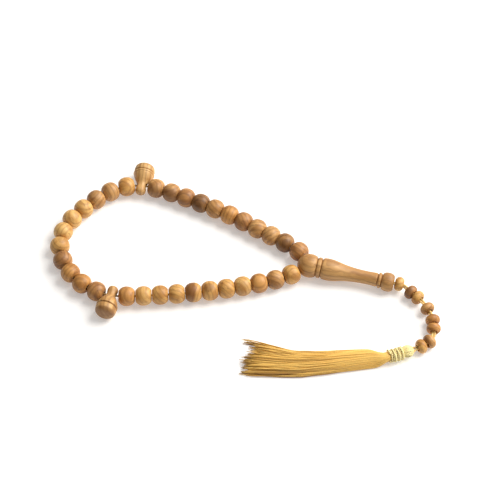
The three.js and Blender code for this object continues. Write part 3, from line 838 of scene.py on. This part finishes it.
def skirt_lines():
    """The middle line and the shade of each thread of the skirt, in the tassel's own frame. The shade holds
    painted light: upper threads and threads near the neck lighter, threads at the edges of the locks darker.
    """
    locks = [
        (2 * (i + dice.uniform(0.2, 0.8)) / LOCKS - 1, dice.random(), dice.gauss(0, 1))
        for i in range(LOCKS)
    ]
    stations, middles, halves = zip(*SKIRT_OUTLINE)
    lines = []
    for a, b in disc_points(THREADS):
        a, b = a + dice.uniform(-0.02, 0.02), b + dice.uniform(-0.02, 0.02)
        rim = math.sqrt(max(0.02, 1 - a * a))
        level = min(1.0, max(0.0, (b / rim + 1) / 2))
        lock_a, lock_long, lock_sway = min(locks, key=lambda lock: abs(lock[0] - a) + 0.05 * dice.random())
        at_edge = min(1.0, abs(lock_a - a) * LOCKS / 2)
        length = 0.0435 + 0.0075 * lock_long + 0.0045 * dice.random() ** 2 - 0.002 * at_edge + 0.0035 * a
        x = np.concatenate([np.linspace(-0.0012, 0.008, 8)[:-1], np.linspace(0.008, length, 20)])
        along = np.clip(x, 0, None)
        width = np.interp(along, stations, halves)
        opened = smooth_share(along, 0, 0.006)
        gather = 0.55 * smooth_share(along, 0.006, 0.9 * length)
        across = a + (lock_a - a) * gather
        height = np.interp(along, [0, 0.01, 0.03, 0.045, 0.055], [0.0048, 0.005, 0.0046, 0.0036, 0.0026])
        top = height * rim * (1 - 0.18 * at_edge * smooth_share(along, 0.004, 0.02))
        wave = dice.uniform(0, 2 * math.pi)
        sway = 0.0003 * np.sin(along * dice.uniform(70, 210) + wave) * smooth_share(along, 0.004, 0.03)
        stray = (0.0005 * dice.gauss(0, 1) + 0.0005 * lock_sway) * smooth_share(along, 0.03, length)
        flat_y = np.interp(along, stations, middles) + width * across + sway + stray
        flat_z = YARN_RADIUS + level * (top - YARN_RADIUS) + 0.4 * np.abs(sway)
        round_y = NECK_RADIUS * a
        round_z = AXIS_HEIGHT + NECK_RADIUS * b
        y = round_y + (flat_y - round_y) * opened
        z = round_z + (flat_z - round_z) * opened
        # Painted light: the upper threads lighter, the threads at the locks' edges darker, and a painted
        # highlight towards the neck; the random part is the threads' own tone.
        shade = 0.12 + 0.5 * level - 0.4 * at_edge**2 + dice.uniform(-0.22, 0.28)
        shade = shade + 0.3 * (1 - smooth_share(along, 0.004, 0.026))
        lines.append((np.stack([x + SKIRT_FROM, y, z - AXIS_HEIGHT], axis=1), shade))
    return lines


skirt = Strands()
for line, shade in skirt_lines():
    taper = np.full(len(line), YARN_RADIUS)
    taper[-1] *= 0.5
    skirt.add(to_frame(line), taper, 5, shade)
skirt_piece = skirt.build("tassel_threads")
finish_piece(skirt_piece, YARNS["tassel_yarn"], "tassel_yarn", "tassel", "tassel_yarn")

# The head: threads that fold over the cord and run back under the binding.
NOSE = 0.0025
head = Strands()
for a, b in disc_points(120):
    if b < 0:
        continue
    rise = HEAD_RADIUS * (0.45 + 0.55 * b) * math.sqrt(max(0.0, 1 - a * a))
    nose = NOSE * (0.6 + 0.4 * b) * math.sqrt(max(0.05, 1 - 0.6 * a * a))
    bend = np.linspace(-math.pi / 2, math.pi / 2, 13)
    fold = [(NOSE - nose * math.cos(t), HEAD_RADIUS * a * 0.95, rise * math.sin(t)) for t in bend]
    narrow = NECK_RADIUS / HEAD_RADIUS * 0.94
    far = TASSEL_HEAD_LENGTH + BINDING_LENGTH + 0.0008
    run = []
    for s in np.linspace(0, 1, 12)[1:]:
        thin = 1 + (narrow - 1) * smooth_share(s, 0.04, 0.3)
        run.append((NOSE + (far - NOSE) * s, HEAD_RADIUS * a * 0.95 * thin, rise * thin))
    under = [(x, y, -z) for x, y, z in reversed(run)]
    line = to_frame(np.array([*under, *fold, *run], float))
    head.add(line, YARN_RADIUS, 5, 0.75 + dice.uniform(-0.15, 0.3))
head_piece = head.build("tassel_head_threads")
# The head's threads take the paler binding yarn: a painted highlight, as they are the skirt's own yarn.
finish_piece(head_piece, YARNS["tassel_binding"], "tassel_yarn", "tassel", "tassel_yarn")

# The binding: one thread wound round the neck, leaning a little, with looser turns crossing over the others.
THREAD_RADIUS = 0.00043


def winding(turns, start, end, radius, lean, phase):
    t = np.linspace(0, 1, int(turns * 40))
    angle = 2 * math.pi * turns * t + phase
    x = BINDING_FROM + BINDING_LENGTH * (start + (end - start) * t) + lean * np.cos(angle)
    loose = radius * (1 + 0.05 * np.sin(3.1 * angle + phase))
    return np.stack([x, loose * np.cos(angle), loose * np.sin(angle)], axis=1)


binding = Strands()
wound = BINDING_RADIUS - THREAD_RADIUS
binding.add_plies(to_frame(winding(6, 0.08, 0.92, wound, 0.0005, 0)), THREAD_RADIUS, 2, 0.0016, 6, 0.5)
over = winding(3.2, 0.92, 0.1, wound + 0.0003, -0.0006, 1.4)
binding.add_plies(to_frame(over), THREAD_RADIUS * 0.9, 2, 0.0016, 6, 0.72)
binding_piece = binding.build("binding_windings")
finish_piece(binding_piece, YARNS["tassel_binding"], "tassel_binding", "tassel", "tassel_binding")

# ---- Floor and light ----

floor_mesh = bpy.data.meshes.new("floor")
reach = 4.0
corners = [(-reach, -reach, 0), (reach, -reach, 0), (reach, reach, 0), (-reach, reach, 0)]
floor_mesh.from_pydata(corners, [], [(0, 1, 2, 3)])
floor = link("floor", floor_mesh, smooth=False)
floor_look = Nodes("white_table")
floor_look.set(floor_look.shader, Base_Color=(0.8, 0.796, 0.79, 1), Roughness=0.9, Specular_IOR_Level=0.1)
FLOOR_GLOW = 0.33
floor_look.set(floor_look.shader, Emission_Color=(1, 0.985, 0.97, 1), Emission_Strength=FLOOR_GLOW)
floor_mesh.materials.append(floor_look.material)

world = bpy.data.worlds.new("studio")
bpy.context.scene.world = world
world.use_nodes = True

# The room is a soft box round the table: bright from the right and above, dim from the left and the front.
ROOM_BRIGHT_FROM = (0.62, 0.32, 0.72)
ROOM_DIM, ROOM_BRIGHT = 0.02, 0.56
room = world.node_tree
background = room.nodes["Background"]
background.inputs["Color"].default_value = (1.0, 0.985, 0.965, 1)
ray = room.nodes.new("ShaderNodeTexCoord")
toward_light = room.nodes.new("ShaderNodeVectorMath")
toward_light.operation = "DOT_PRODUCT"
toward_light.inputs[1].default_value = ROOM_BRIGHT_FROM
spread = room.nodes.new("ShaderNodeMapRange")
spread.interpolation_type = "SMOOTHSTEP"
spread.inputs["From Min"].default_value = -0.6
spread.inputs["From Max"].default_value = 1.0
spread.inputs["To Min"].default_value = ROOM_DIM
spread.inputs["To Max"].default_value = ROOM_BRIGHT
room.links.new(ray.outputs["Generated"], toward_light.inputs[0])
room.links.new(toward_light.outputs["Value"], spread.inputs["Value"])
room.links.new(spread.outputs["Result"], background.inputs["Strength"])


KEY_PLACE = (0.62, 0.3, 0.74)
KEY_SIZE = 0.9
KEY_WATTS = 15.8
KEY_COLOUR = (1.0, 0.975, 0.94)


def area_light(name, place, size, power, colour):
    light = bpy.data.lights.new(name, "AREA")
    light.shape = "DISK"
    light.size = size
    light.energy = power
    light.color = colour
    made = bpy.data.objects.new(name, light)
    made.location = place
    made.rotation_euler = (Vector((0, 0, 0)) - Vector(place)).to_track_quat("-Z", "Y").to_euler()
    bpy.context.collection.objects.link(made)


area_light("key", KEY_PLACE, KEY_SIZE, KEY_WATTS, KEY_COLOUR)

scene = bpy.context.scene
scene.view_settings.view_transform = "Standard"
scene.view_settings.look = "None"
